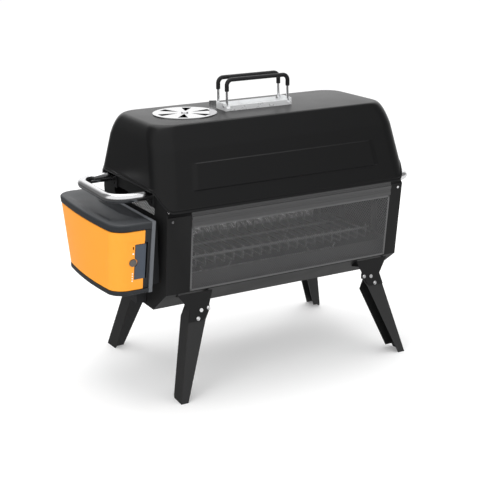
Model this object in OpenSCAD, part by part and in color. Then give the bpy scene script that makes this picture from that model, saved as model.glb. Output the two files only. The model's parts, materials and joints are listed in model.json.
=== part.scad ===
// Portable fan-fed fire-pit grill: folding legs, mesh sides, hinged lid and a slide-off fan pack.
// Origin on the floor under the middle of the whole grill, +X along the body away from the
// fan pack, -Y the front, +Z up.

/* [Firebox body] */
// Distance between the outer faces of the two body ends
body_len = 525; // [500:5:560]
// Height of the body's top edge above the floor
body_top_z = 358; // [354:1:362]
// Height of the crease between the wall and the lower chamfer
body_mid_z = 203; // [198:1:208]
// Height of the flat bottom
body_low_z = 158; // [155:1:162]
// Half depth of the body at its top edge
body_top_y = 150.5; // [149:0.5:151]
// Half depth of the body at the crease
body_mid_y = 132; // [130:0.5:134]
// Half depth of the flat bottom
body_low_y = 74; // [70:1:77]
// Thickness of the body's sheet steel
sheet = 1.6; // [1.2:0.1:2]
// Width of the wall strip on the fan-pack end
left_strip = 49; // [40:1:55]
// Width of the wall strip on the free end
right_strip = 26; // [20:1:35]
// Height of the left end plate above the floor
left_riser_z = 393; // [390:1:395]
// Height of the right end plate above the floor
right_riser_z = 385; // [380:1:390]
// Height of the ribbed top rails
rail_h = 23; // [20:1:28]
// Spacing of the openings in the mesh panels
mesh_pitch = 16; // [14:1:24]

/* [Legs] */
// Half distance between the outer corners of the feet, along the body
foot_x = 261; // [255:1:266]
// Half distance between the outer corners of the feet, across the body
foot_y = 180.5; // [176:0.5:184]
// Half distance between the outer corners of the leg tops, along the body
leg_top_x = 211; // [205:1:215]
// Width of a leg at its top
leg_top_w = 45; // [42:1:46]
// Width of a leg at the foot
leg_foot_w = 15; // [12:1:20]
// Depth of a leg's channel at its top
leg_depth = 37; // [32:1:38]

/* [Lid] */
// Height of the lid's lower edge
lid_low_z = 365; // [364:1:368]
// Height of the crease between the lid's wall and shoulder
lid_mid_z = 474.5; // [468:0.5:478]
// Height of the lid's flat top
lid_top_z = 517.5; // [515:0.5:525]
// Thickness of the lid
lid_wall = 1.8; // [1.4:0.1:2.4]
// Diameter of the turning vent disc
vent_d = 125; // [110:1:130]
// Vent centre, measured from the middle of the body
vent_x = -150; // [-155:1:-145]
// Height of the lid handle's bar centre
loop_top_z = 577.5; // [570:0.5:585]

/* [Fan pack] */
// Outer face of the pack at its top, measured from the middle of the body
pack_out_x = 375; // [370:1:380]
// Height of the pack's top
pack_top_z = 357; // [352:1:362]
// Height of the pack's underside
pack_low_z = 213; // [208:1:218]
// Diameter of the fan's opening
fan_d = 62; // [50:1:70]

/* [Racks] */
// Number of wires in the fuel rack
fuel_wires = 22; // [16:1:24]
// Number of bars in the cooking grate
grate_bars = 24; // [16:1:28]

/* [Hidden] */
$fn = 32;

// Running gap between a pin and its bore, on the radius
slip = 0.05;
// Clearance between neighbouring sheets
gap = 0.3;

half_len = body_len / 2;
wall_tilt = atan((body_top_y - body_mid_y) / (body_top_z - body_mid_z));
rail_z = body_top_z - rail_h;
rail_lip_z = 346;
upstand = 8;
panel_left_x = -half_len + left_strip;
panel_right_x = half_len - right_strip;
mesh_low_z = body_mid_z + 1.5;
mesh_t = 1;
mesh_bar = 2.5;
mesh_border = 4;

// Rounded opening in the left end plate: width, height, corner radius, centre height
draft_hole = [190, 20, 9];
draft_hole_z = 361;
// Shoulder and top of the two end plates' risers, half depths
riser_shoulder_y = 148;
riser_top_y = 132;
riser_drop = 25;

tube_d = 18;
handle_root_y = 88;
left_handle_x = -345;
left_handle_z = 390;
left_handle_r = 34;
right_handle_x = 317.5;
right_handle_y = 96;
right_handle_z = 356;
right_handle_r = 22;
handle_bolt_d = 6.4;
handle_bolt_drop = 14;
flange_t = 2.7;
// Shift that puts the middle of the overall length on the origin
body_x = (pack_out_x - right_handle_x - tube_d / 2) / 2;

// Half width and height of the openings for ash and of the pan's folds
ash_hole = [90, 76];
pan_t = 1.2;
fire_pan_low = [body_low_y - 4, body_low_z + 3.4];
fire_pan_mid = [body_mid_y - 20.5, body_mid_z - 9];
fire_pan_top = [115, 233];
manifold_d = 24;
manifold_wall = 1.2;
manifold_z = 180;
manifold_end_x = 190;
manifold_jets = 12;
manifold_pitch = 32;

splay = atan((foot_y - body_mid_y) / body_mid_z);
lean = (foot_x - leg_top_x) / body_mid_z * cos(splay);
leg_len = body_mid_z / cos(splay);
bracket_h = 57;
pivot = [14.8, -37.5];
pivot_r = 3;
fastener_r = 3.75;
leg_t = 1.8;
leg_gap = 2.2;
gusset_gap = 0.4;
leg_in = leg_t + 0.4;
leg_sweep_r = 21;
chamfer_tilt = atan((body_mid_z - body_low_z) / (body_mid_y - body_low_y));

hinge_y = 159;
hinge_z = 357;
hinge_xs = [-150, 150];
hinge_d = 8;
pin_r = 2;
leaf_x = 18.2;
leaf_half = 5.8;

// Half length and half depth of the lid at each of its levels
lid_half = [[283, 155.5], [269.5, 122], [267, 111.6], [261, 102.7], [247, 96.5]];
lid_z = [lid_low_z, lid_mid_z, 492, 507, lid_top_z];
lid_last = len(lid_z) - 1;
lid_corner = 38;
lid_tilt = atan((lid_half[0][1] - lid_half[1][1]) / (lid_z[1] - lid_z[0]));
// Lower edge of the lid's end walls, raised over the side handles
lid_notch = [[-158, 360], [-132, 391], [-118, 401], [118, 401], [132, 391], [158, 360]];
lid_notch_x = 230;

vent_count = 6;
vent_half_angle = 10.5;
vent_apex_r = 15;
vent_rim = 8;
vent_tab = [14, 1.6, 22];
vent_tab_angle = -22;
vent_rivet_r = 3;

// Middle of the lid handle along the body
loop_x = 2.5;
loop_w = 69;
loop_y = 18;
loop_low_z = lid_top_z + 9;
wire_d = 5;
loop_bend = 14;
grip_d = 8.4;
grip_low_z = 555;
base_half = [75, 24];
base_t = 1.6;
base_flange_h = 10;
base_lug_h = 14;

frame_x = 286.5;
frame_t = 7;
shell_x = 306;
pack_top_y = 149;
pack_low_y = 121;
pack_lean = 5;
pack_tilt = atan((pack_top_y - pack_low_y) / (pack_top_z - pack_low_z));
cap_h = 14;
lip_h = 9;
skin = 2.4;
shell_z = [pack_low_z + lip_h + 1, pack_top_z - cap_h - 1];
screw_spots = [[-134, 318], [134, 318], [-111, 240], [111, 240]];
screw_d = 4.2;
fan_z = 280;
fan_x = -306;
// Opening of the pack's front side: control line, button, flap and lenses
panel_x = 328;
button_z = 279.5;
button_r = 7;
lens_rows = [[298, 3.4], [257.7, 2.6], [252.7, 2.6], [247.7, 2.6], [242.7, 2.6]];
cover_z = [244, 317];
cover_mid = (cover_z[0] + cover_z[1]) / 2;
cover_h = cover_z[1] - cover_z[0] - 2;
cover_x = [-324, -306.8];
cover_t = 2.4;
cover_pin_x = -304.4;
cover_pin_y = -1.4;
cover_pin_r = 0.8;

door_hinge_y = 46;
door_hinge_z = body_low_z - 4.2;
door_pin_d = 3;
door_xs = [-40, 40];

basket_y = 88;
basket_low_z = 234;
basket_top_z = 256;
basket_x = 226;
rod = 4;
grate_z = 349;
grate_x = [205, 138];
grate_rod = 5;

function unit(v) = v / norm(v);
function inward(a, b) = let (d = unit(b - a)) [-d[1], d[0]];
// Corner b of the path a-b-c, moved inward by t from both edges
function miter(a, b, c, t) =
    let (m = inward(a, b), n = inward(b, c)) b + t * (m + n) / (1 + m * n);
// Half depth of the body's wall at height z
function wall_y(z) =
    body_mid_y + (body_top_y - body_mid_y) * (z - body_mid_z) / (body_top_z - body_mid_z);
function side_y(z) =
    pack_low_y + (pack_top_y - pack_low_y) * (z - pack_low_z) / (pack_top_z - pack_low_z);
function flip(points) = [for (i = [len(points) - 1:-1:0]) [-points[i][0], points[i][1]]];

// Left half of the body's section, from the top edge to the bottom, inset by t
function half_section(t, top_z) =
    let (
        top = [-wall_y(top_z), top_z],
        mid = [-body_mid_y, body_mid_z],
        low = [-body_low_y, body_low_z],
        far = [body_low_y, body_low_z]
    )
    [top + [t, 0], miter(top, mid, low, t), miter(mid, low, far, t)];
function section(t, top_z) = concat(half_section(t, top_z), flip(half_section(t, top_z)));

module placed(colour) color(colour) translate([body_x, 0, 0]) children();
// Turns a section drawn in Y and Z into a bar from x0 to x1
module along_x(x0, x1) translate([x0, 0, 0]) rotate([90, 0, 90]) linear_extrude(x1 - x0) children();
module rod_x(x0, x1, y, z, d)
    translate([x0, y, z]) rotate([0, 90, 0]) cylinder(d = d, h = x1 - x0);
module rod_y(x, y0, y1, z, d)
    translate([x, y0, z]) rotate([-90, 0, 0]) cylinder(d = d, h = y1 - y0);
module rounded_rect(w, h, r) {
    square([w - 2 * r, h], center = true);
    square([w, h - 2 * r], center = true);
    for (x = [-1, 1], y = [-1, 1])
        translate([x * (w / 2 - r), y * (h / 2 - r)]) circle(r);
}
module both_sides() {
    children();
    mirror([0, 1, 0]) children();
}
module four_corners() for (sx = [0, 1], sy = [0, 1])
    mirror([sx, 0, 0]) mirror([0, sy, 0]) children();

// ---- Firebox body ----

// Bent strip of wall, chamfer and bottom, with an upstand behind the lid's edge
module body_strip(x0, x1) {
    along_x(x0, x1)
        polygon(concat(section(0, body_top_z), [for (i = [5:-1:0]) section(sheet, body_top_z)[i]]));
    step = 2;
    lap_z = body_top_z - upstand;
    lap_y = wall_y(lap_z) - 0.4;
    both_sides() along_x(x0, x1)
        polygon([[-lap_y, lap_z], [-body_top_y + step, body_top_z + upstand],
            [-body_top_y + step + sheet, body_top_z + upstand], [-lap_y + sheet / 2, lap_z]]);
}

// Section of an end plate whose riser reaches up to top_z behind the lid's end
module end_plate(x, top_z, root_y, bolt_z) difference() {
    along_x(x - sheet / 2, x + sheet / 2)
        polygon(concat(
            [[-riser_top_y, top_z], [-riser_shoulder_y, top_z - riser_drop]],
            section(0, body_top_z),
            [[riser_shoulder_y, top_z - riser_drop], [riser_top_y, top_z]]));
    for (y = [-root_y, root_y])
        rod_x(x - 2 * sheet, x + 2 * sheet, y, bolt_z, handle_bolt_d);
}
module left_end_plate() placed("#2b2b2d") {
    difference() {
        end_plate(-half_len - sheet / 2, left_riser_z, handle_root_y,
            left_handle_z - handle_bolt_drop);
        translate([-half_len - sheet / 2, 0, draft_hole_z])
            rotate([90, 0, 90]) linear_extrude(4 * sheet, center = true)
                rounded_rect(draft_hole[0], draft_hole[1], draft_hole[2]);
        rod_x(-half_len - 5, -half_len + 5, 0, manifold_z, manifold_d + 2 * slip);
    }
    body_strip(-half_len, panel_left_x - gap);
}
module right_end_plate() placed("#2b2b2d") {
    end_plate(half_len + sheet / 2, right_riser_z, right_handle_y,
        right_handle_z - handle_bolt_drop);
    body_strip(panel_right_x + gap, half_len);
}

// Ribbed strip with a shelf for the cooking grate and an upstand behind the lid's edge
module top_rail() {
    ribs = [[0, 0], [1, 0], [1.6, 1], [1.6, 7], [0.6, 8], [0.6, 13], [1.6, 14], [1.6, 20],
        [0, 21], [0, rail_h]];
    lip = 12;
    step = 2;
    up_z = body_top_z + upstand;
    shelf_y = wall_y(rail_lip_z);
    under_y = wall_y(rail_lip_z - step);
    along_x(panel_left_x, panel_right_x)
        polygon(concat(
            [for (p = ribs) [-wall_y(rail_z + p[1]) - p[0], rail_z + p[1]]],
            [[-body_top_y + step / 2, body_top_z],
            [-body_top_y + step, up_z],
            [-body_top_y + step + sheet, up_z],
            [-body_top_y + step + sheet, body_top_z - step],
            [-shelf_y + sheet, rail_lip_z],
            [-shelf_y + lip, rail_lip_z],
            [-under_y + lip, rail_lip_z - step],
            [-under_y + sheet, rail_lip_z - step],
            [-wall_y(rail_z) + sheet, rail_z]]));
}
module front_top_rail() placed("#3c3c3e") top_rail();
module rear_top_rail() placed("#3c3c3e") mirror([0, 1, 0]) top_rail();

module mesh_panel() {
    width = panel_right_x - panel_left_x;
    height = (rail_z - gap - mesh_low_z) / cos(wall_tilt);
    cols = floor((width - 2 * mesh_border) / mesh_pitch);
    rows = floor((height - 2 * mesh_border) / mesh_pitch);
    translate([panel_left_x, -wall_y(mesh_low_z) + sheet, mesh_low_z])
        rotate([90 + wall_tilt, 0, 0]) linear_extrude(mesh_t) difference() {
            square([width, height]);
            for (i = [0:cols - 1], j = [0:rows - 1])
                translate([width / 2 + (i - cols / 2) * mesh_pitch + mesh_bar / 2,
                    height / 2 + (j - rows / 2) * mesh_pitch + mesh_bar / 2])
                    square(mesh_pitch - mesh_bar);
        }
}
module front_mesh() placed("#77777a") mesh_panel();
module rear_mesh() placed("#77777a") mirror([0, 1, 0]) mesh_panel();

module bottom_pan() placed("#2f2f31") {
    low = section(0, body_top_z);
    inner = section(sheet, body_top_z);
    difference() {
        along_x(panel_left_x, panel_right_x)
            polygon([low[1], low[2], low[3], low[4], inner[4], inner[3], inner[2], inner[1]]);
        translate([-ash_hole[0] / 2, -ash_hole[1] / 2, body_low_z - 5])
            cube([ash_hole[0], ash_hole[1], 10]);
    }
}

module fire_pan() placed("#3a3836") {
    outer = [[-fire_pan_top[0], fire_pan_top[1]], [-fire_pan_mid[0], fire_pan_mid[1]],
        [-fire_pan_low[0], fire_pan_low[1]]];
    ring = concat(outer, flip(outer));
    inner = [for (p = ring) [p[0] - sign(p[0]) * pan_t, p[1] + (p[1] < 200 ? pan_t : 0)]];
    difference() {
        union() {
            along_x(-half_len + 3, half_len - 3)
                polygon(concat(ring, [for (i = [5:-1:0]) inner[i]]));
            for (x = [-half_len + 3, half_len - 3 - pan_t])
                along_x(x, x + pan_t) polygon(ring);
        }
        translate([-ash_hole[0] / 2, -ash_hole[1] / 2, body_low_z])
            cube([ash_hole[0], ash_hole[1], 10]);
        rod_x(-half_len, -half_len + 10, 0, manifold_z, manifold_d + 2 * slip);
    }
}

module air_manifold() placed("#8a8a8c") difference() {
    rod_x(-half_len - sheet, manifold_end_x, 0, manifold_z, manifold_d);
    rod_x(-half_len - 5, manifold_end_x + 5, 0, manifold_z, manifold_d - 2 * manifold_wall);
    for (i = [0:manifold_jets - 1])
        translate([(i - manifold_jets / 2) * manifold_pitch - 8, 0, manifold_z])
            cylinder(d = 5, h = manifold_d);
}
module manifold_cap() placed("#8a8a8c") difference() {
    rod_x(manifold_end_x - 10, manifold_end_x + 2, 0, manifold_z, manifold_d + 2.2);
    rod_x(manifold_end_x - 11, manifold_end_x + 0.1, 0, manifold_z, manifold_d + 2 * slip);
}

// Angles on the end plates; the fuel rack's end rods sit on their shelves
module rack_hangers() placed("#4a4a4c") four_corners()
    translate([-half_len + 0.4, 50, basket_low_z - 0.6]) {
        cube([2, 20, 66]);
        cube([half_len - basket_x - 12.4, 20, 1.9]);
    }

module air_duct() placed("#1d1d1f") {
    depth = frame_x - half_len - sheet - 2.2;
    translate([-half_len - sheet - depth - gap, 0, 0]) difference() {
        translate([0, -42, 164]) cube([depth, 84, 156]);
        translate([1.5, -40.5, 165.5]) cube([depth - 3, 81, 153]);
        rod_x(-5, 5, 0, fan_z, fan_d);
        rod_x(depth - 5, depth + 5, 0, manifold_z, manifold_d - 2 * manifold_wall);
    }
}
module duct_seal() placed("#18181a") difference() {
    rod_x(-frame_x + 0.1, -frame_x + 1.7, 0, fan_z, fan_d + 12);
    rod_x(-frame_x - 5, -frame_x + 5, 0, fan_z, fan_d);
}

// Two upright channels on the left end plate that the fan pack hooks over
module pack_rails() placed("#1d1d1f") both_sides()
    translate([-frame_x + 2, 88, 222]) difference() {
        cube([frame_x - half_len - sheet - 2 - gap, 18, 118]);
        translate([-1, 2, -1]) cube([frame_x - half_len - sheet - 3.5 - gap, 14, 130]);
    }

// ---- Legs and their brackets, drawn at the front left corner ----

// Frame with its origin at the top of a leg's outer crease, -Z down the leg, +Y inward
module leg_frame()
    translate([-leg_top_x, -body_mid_y - leg_gap, body_mid_z]) rotate([-splay, 0, 0]) children();

module leg_face(t)
    translate([0, t, 0]) rotate([90, 0, 0]) linear_extrude(t) children();

function leg_out(z) = lean * z;
function leg_inner(z) = leg_out(z) + leg_top_w + (leg_top_w - leg_foot_w) * z / leg_len;

// Everything above the body's chamfer, seen from a leg's frame
module above_chamfer() rotate([splay, 0, 0]) translate([-60, leg_gap, -gusset_gap])
    rotate([-chamfer_tilt, 0, 0]) cube([140, 80, 60]);
// Shears a drawing so that its uprights lean like the edge with this slope
module sheared(slope, x) multmatrix([[1, 0, slope, x], [0, 1, 0, 0], [0, 0, 1, 0]]) children();

// Cover plate in front of the leg's top, with two gussets up to the chamfer
module leg_bracket() leg_frame() {
    ear_x = -30;
    top_z = -2.6;
    difference() {
        leg_face(leg_t)
            polygon([[ear_x, top_z], [leg_inner(top_z), top_z], [leg_inner(-50), -50],
                [leg_inner(-bracket_h) - 6, -bracket_h], [leg_out(-bracket_h), -bracket_h],
                [leg_out(-34), -34]]);
        translate([pivot[0], -1, pivot[1]]) rotate([-90, 0, 0])
            cylinder(r = pivot_r + slip, h = 5);
    }
    difference() {
        union() {
            translate([ear_x + 3, leg_t - 0.2, -6]) cube([leg_t, 20, 6]);
            translate([leg_inner(-14) - leg_t, leg_t - 0.2, -14]) cube([leg_t, 26, 12]);
        }
        above_chamfer();
        translate([-60, 0, top_z]) cube([140, 60, 20]);
    }
}
module leg_brackets() placed("#151516") four_corners() leg_bracket();

module leg_pivot_pins() placed("#c9c9cc") four_corners() leg_frame()
    translate([pivot[0], 0, pivot[1]]) rotate([-90, 0, 0]) {
        translate([0, 0, -2.2]) cylinder(r = fastener_r, h = 2);
        translate([0, 0, -0.3]) cylinder(r = pivot_r, h = 6.5);
        translate([0, 0, 4.7]) cylinder(r = fastener_r, h = 1.6);
    }

module bracket_rivets() placed("#c9c9cc") four_corners() leg_frame()
    for (p = [[31, -35.5], [6.5, -52.5]])
        translate([p[0], -0.1, p[1]]) rotate([90, 0, 0]) {
            cylinder(r = fastener_r, h = 1.2);
            translate([0, 0, 1.1]) cylinder(r1 = fastener_r - 1, r2 = fastener_r - 2, h = 0.9);
        }

// Folded channel, open towards the middle of the body: front flange, outer web, rear flange
module leg() leg_frame() {
    low = -leg_len;
    web_y = leg_in + leg_t - 0.2;
    web_z = -24;
    back_z = -44;
    back_y = leg_in + leg_depth;
    clip = 5;
    difference() {
        leg_face(leg_in + leg_t) union() {
            polygon([[leg_out(web_z), web_z], [leg_out(low), low], [leg_inner(low), low],
                [leg_inner(-bracket_h), -bracket_h],
                [pivot[0] + leg_sweep_r - 1, pivot[1]], [pivot[0], pivot[1]]]);
            intersection() {
                translate([pivot[0], pivot[1]]) circle(leg_sweep_r, $fn = 48);
                translate([leg_out(web_z), -40]) square([60, 60]);
            }
        }
        translate([-200, -1, -300]) cube([400, leg_in + 1, 400]);
        translate([pivot[0], -1, pivot[1]]) rotate([-90, 0, 0])
            cylinder(r = pivot_r + slip, h = 20);
    }
    sheared(lean, leg_t) translate([0, web_y, 0]) rotate([0, -90, 0]) linear_extrude(leg_t)
        polygon([[web_z, 0], [low, 0], [low, leg_depth - 2 - clip], [low + 15, leg_depth - 2],
            [back_z - 2, leg_depth - 2], [web_z, 22]]);
    translate([0, back_y - leg_t, 0]) leg_face(leg_t)
        polygon([[leg_out(back_z), back_z], [leg_out(low + 15), low + 15],
            [leg_inner(low + 15), low + 15],
            [leg_inner(-bracket_h - 8), -bracket_h - 8], [leg_out(back_z) + 18, back_z]]);
}
module at_floor() intersection() {
    children();
    translate([-300, -300, 0]) cube([600, 600, 300]);
}
module leg_front_left() placed("#2a2a2c") at_floor() leg();
module leg_front_right() placed("#2a2a2c") at_floor() mirror([1, 0, 0]) leg();
module leg_rear_left() placed("#2a2a2c") at_floor() mirror([0, 1, 0]) leg();
module leg_rear_right() placed("#2a2a2c") at_floor() mirror([1, 0, 0]) mirror([0, 1, 0]) leg();

module body_rivets() placed("#d0d0d2") four_corners()
    translate([-half_len + 9, -wall_y(350) - 0.1, 350]) rotate([90 + wall_tilt, 0, 0])
        cylinder(r = 2.6, h = 1.2);

// ---- Handles ----

module tube_bend(r, a, d) rotate_extrude(angle = a, $fn = 64) translate([r, 0]) circle(d = d);

// U-shaped bar lying flat: straight roots, two bends and a straight outer bar
module u_handle(root_x, out_x, half_y, r, z) {
    s = sign(out_x);
    rod_y(out_x, -half_y + r, half_y - r, z, tube_d);
    for (y = [-1, 1]) {
        rod_x(min(root_x, out_x - s * r), max(root_x, out_x - s * r), y * half_y, z, tube_d);
        translate([out_x - s * r, y * (half_y - r), z])
            rotate([0, 0, s > 0 ? (y > 0 ? 0 : -90) : (y > 0 ? 90 : 180)]) tube_bend(r, 90, tube_d);
    }
}
module left_handle() placed("#e4e4e6")
    u_handle(-half_len - sheet - 3, left_handle_x, handle_root_y, left_handle_r, left_handle_z);
module right_handle() placed("#e4e4e6")
    u_handle(half_len + sheet + 3, right_handle_x, right_handle_y, right_handle_r,
        right_handle_z);

// Pressed tabs that carry the ends of the tubes
module handle_flange(x, y, z) difference() {
    translate([x, y, z]) rotate([90, 0, 90]) linear_extrude(flange_t)
        polygon([[-13, -22], [13, -22], [13, 1], [8, 9], [-8, 9], [-13, 1]]);
    rod_x(x - 5, x + 5, y, z - handle_bolt_drop, handle_bolt_d);
}
module handle_flanges() placed("#1b1b1c") both_sides() {
    handle_flange(-half_len - sheet - flange_t - 0.2, handle_root_y, left_handle_z);
    handle_flange(half_len + sheet + 0.1, right_handle_y, right_handle_z);
}

// ---- Lid ----

module hinge_body_knuckles() placed("#29292b") for (x = hinge_xs) difference() {
    union() {
        rod_x(x - 12, x + 12, hinge_y, hinge_z, hinge_d);
        translate([x - 12, body_top_y + 2, hinge_z - hinge_d / 2])
            cube([24, hinge_y - body_top_y - 2, hinge_d / 2]);
    }
    rod_x(x - 13, x + 13, hinge_y, hinge_z, 2 * (pin_r + slip));
}
module lid_hinge_pins() placed("#b8b8ba") for (x = hinge_xs) {
    rod_x(x - 25, x + 25, hinge_y, hinge_z, 2 * pin_r);
    rod_x(x - 27, x - 24.4, hinge_y, hinge_z, 3 * pin_r);
}
// Frame on a hinge's axis, leaning with the lid's rear wall
module leaf_frame(x) translate([x, hinge_y, hinge_z]) rotate([lid_tilt, 0, 0]) children();
module hinge_lid_leaves() placed("#29292b") for (x = hinge_xs) difference() {
    union() for (s = [-1, 1]) {
        translate([x + s * leaf_x, 0, 0])
            rod_x(-leaf_half, leaf_half, hinge_y, hinge_z, hinge_d);
        leaf_frame(x + s * leaf_x)
            translate([-leaf_half, -0.8, 0]) cube([2 * leaf_half, 1.8, 22]);
    }
    rod_x(x - 26, x + 26, hinge_y, hinge_z, 2 * (pin_r + slip));
}

module lid_slab(i, inset, drop)
    translate([0, 0, lid_z[i] - drop]) linear_extrude(0.01) hull() four_corners()
        translate([lid_half[i][0] - lid_corner, lid_half[i][1] - lid_corner])
            circle(lid_corner - inset, $fn = 24);
module lid_solid(inset, low_drop) hull() for (i = [0:lid_last])
    lid_slab(i, inset, i == 0 ? low_drop : inset * i / lid_last);

module vent_slots(grow) for (i = [0:vent_count - 1]) rotate(i * 360 / vent_count)
    offset(delta = grow) polygon([[vent_apex_r, 0],
        (vent_d / 2 - vent_rim) * [cos(vent_half_angle), -sin(vent_half_angle)],
        (vent_d / 2 - vent_rim) * [cos(vent_half_angle), sin(vent_half_angle)]]);

module lid_shell() placed("#202022") difference() {
    lid_solid(0, 0);
    lid_solid(lid_wall, 1);
    for (s = [-1, 1]) translate([s * (lid_notch_x + 55), 0, 0]) rotate([90, 0, 90])
        linear_extrude(110, center = true) polygon(lid_notch);
    translate([vent_x, 0, lid_top_z - 10]) {
        linear_extrude(20) vent_slots(0.8);
        cylinder(r = vent_rivet_r + slip, h = 20);
    }
}
module vent_disc() placed("#c8c8ca") translate([vent_x, 0, lid_top_z + gap]) {
    difference() {
        cylinder(d = vent_d, h = 1.6, $fn = 96);
        translate([0, 0, -1]) linear_extrude(5) vent_slots(0);
        translate([0, 0, -1]) cylinder(r = vent_rivet_r + slip, h = 5);
    }
    rotate(vent_tab_angle) translate([vent_d / 2 - vent_tab[0] - 1, -vent_tab[1] / 2, 1.5])
        cube(vent_tab);
}
module vent_rivet() placed("#d8d8da") translate([vent_x, 0, lid_top_z - 3.6]) {
    cylinder(r = vent_rivet_r, h = 6);
    translate([0, 0, 5.7]) cylinder(r = 7, h = 1.8);
    cylinder(r = 6, h = 1.6);
}

// Channel on the lid's top with a lug at each end; slots let the loops fold outward
module handle_base() placed("#d2d2d4") translate([loop_x, 0, lid_top_z + 0.1]) {
    translate([-base_half[0], -base_half[1], 0])
        cube([2 * base_half[0], 2 * base_half[1], base_t]);
    both_sides() difference() {
        translate([-base_half[0], -base_half[1], base_t - 0.1])
            cube([2 * base_half[0], base_t, base_flange_h - base_t]);
        for (s = [-1, 1]) translate([s * loop_w - wire_d / 2 - 1, -base_half[1] - 1, 5])
            cube([wire_d + 2, 5, 20]);
    }
    for (s = [-1, 1]) difference() {
        translate([s * (base_half[0] - 1) - 1, -base_half[1], base_t - 0.1])
            cube([2, 2 * base_half[1], base_lug_h - base_t]);
        for (y = [-loop_y, loop_y])
            rod_x(s * base_half[0] - 5, s * base_half[0] + 5, y,
                loop_low_z - lid_top_z - 0.1, wire_d + 2 * slip);
    }
}
module lid_rivets() placed("#c0c0c2") {
    for (x = [-50, -17, 17, 50], y = [-12, 12])
        translate([loop_x + x, y, lid_top_z + 1.8]) cylinder(r = 2.4, h = 1.2);
    for (x = hinge_xs, s = [-1, 1]) leaf_frame(x + s * leaf_x)
        translate([0, 1.1, 15]) rotate([-90, 0, 0]) cylinder(r = 2.2, h = 1);
}

// Wire loop standing at y = 0, with its feet turned outward through the base's lugs
module loop_wire() {
    bar_z = loop_top_z - loop_low_z;
    foot = base_half[0] - loop_w + 2.5;
    for (s = [-1, 1]) {
        rod_x(s > 0 ? loop_w : -loop_w - foot, s > 0 ? loop_w + foot : -loop_w, 0, 0, wire_d);
        translate([s * loop_w, 0, 0]) {
            sphere(d = wire_d);
            cylinder(d = wire_d, h = bar_z - loop_bend);
        }
        translate([s * (loop_w - loop_bend), 0, bar_z - loop_bend])
            rotate([90, s > 0 ? 0 : -90, 0]) tube_bend(loop_bend, 90, wire_d);
    }
    rod_x(-loop_w + loop_bend, loop_w - loop_bend, 0, bar_z, wire_d);
}
module grip_ring() difference() {
    circle(d = grip_d);
    circle(d = wire_d + 2 * slip);
}
// Soft sleeve over the bar, the bends and the tops of the uprights
module loop_grip() {
    bar_z = loop_top_z - loop_low_z;
    low = grip_low_z - loop_low_z;
    translate([-loop_w + loop_bend, 0, bar_z]) rotate([0, 90, 0])
        linear_extrude(2 * (loop_w - loop_bend)) grip_ring();
    for (s = [-1, 1]) {
        translate([s * (loop_w - loop_bend), 0, bar_z - loop_bend])
            rotate([90, s > 0 ? 0 : -90, 0]) rotate_extrude(angle = 90, $fn = 64)
                translate([loop_bend, 0]) grip_ring();
        translate([s * loop_w, 0, low]) linear_extrude(bar_z - loop_bend - low) grip_ring();
    }
}
module loop_place(side) translate([loop_x, side * loop_y, loop_low_z]) children();
module front_loop() placed("#dcdcde") loop_place(-1) loop_wire();
module rear_loop() placed("#dcdcde") loop_place(1) loop_wire();
module front_grip() placed("#171718") loop_place(-1) loop_grip();
module rear_grip() placed("#171718") loop_place(1) loop_grip();

// ---- Ash door ----

module ash_door() placed("#39393b") {
    translate([-56, -44, body_low_z - 2.1]) cube([112, 88, 1.6]);
    for (x = door_xs) difference() {
        union() {
            rod_x(x - 8, x + 8, door_hinge_y, door_hinge_z, 6);
            translate([x - 8, door_hinge_y - 8, body_low_z - 3.2]) cube([16, 6.5, 1.4]);
        }
        rod_x(x - 9, x + 9, door_hinge_y, door_hinge_z, door_pin_d + 2 * slip);
    }
}
module ash_door_pull() placed("#b0b0b2") translate([0, -36, body_low_z - 12.2]) {
    cylinder(d = 14, h = 3);
    cylinder(d = 7, h = 10);
}
// Two pins, each carried by a pair of lugs under the bottom pan
module ash_door_hinge() placed("#b0b0b2") for (x = door_xs) {
    lug_front = 1.7;
    lug = [2.4, 4.7, body_low_z - door_hinge_z + 2.4];
    rod_x(x - 12, x + 12, door_hinge_y, door_hinge_z, door_pin_d);
    for (s = [-1, 1])
        translate([x + s * 9.8 - lug.x / 2, door_hinge_y - lug_front, door_hinge_z - 2.5]) cube(lug);
}

// ---- Fan pack ----

// Plan of the pack's shell at one height: straight back, rounded outer corners, bowed face
module pack_plan(out_x, half_y, r, inset) hull() {
    translate([-shell_x - 2, -half_y + inset]) square([2, 2 * (half_y - inset)]);
    for (s = [-1, 1]) translate([-out_x + r, s * (half_y - r)]) circle(r - inset, $fn = 32);
    polygon([for (i = [-4:4]) [-out_x - 5 * (1 - i * i / 16) + 5 + inset, i * (half_y - r) / 4]]);
}
module pack_slab(z, r, inset)
    translate([0, 0, z]) linear_extrude(0.01)
        pack_plan(pack_out_x - pack_lean * (pack_top_z - z) / (pack_top_z - pack_low_z),
            side_y(z), r, inset);

module pack_shell() placed("#ffaa28") difference() {
    hull() {
        pack_slab(shell_z[0], 34, 1);
        pack_slab(shell_z[1], 34, 1);
    }
    hull() {
        pack_slab(shell_z[0] - 1, 34, 1 + skin);
        pack_slab(shell_z[1] + 1, 34, 1 + skin);
    }
    translate([-shell_x - 1, -160, pack_low_z]) cube([20, 320, 160]);
    // window for the charge sockets, then the button's and the lenses' holes
    translate([-shell_x - 20, -160, cover_z[0] - 0.5]) cube([30, 60, cover_z[1] - cover_z[0] + 1]);
    control_frame(button_z) translate([0, 0, -10]) cylinder(r = button_r + slip, h = 30);
    for (p = lens_rows) control_frame(p[0]) translate([0, 0, -2]) cylinder(d = p[1], h = 12);
}
// Frame on the pack's front side wall at height z, +Z pointing outward
module control_frame(z) translate([-panel_x, -side_y(z) + 1, z]) rotate([90 + pack_tilt, 0, 0])
    children();

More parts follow.
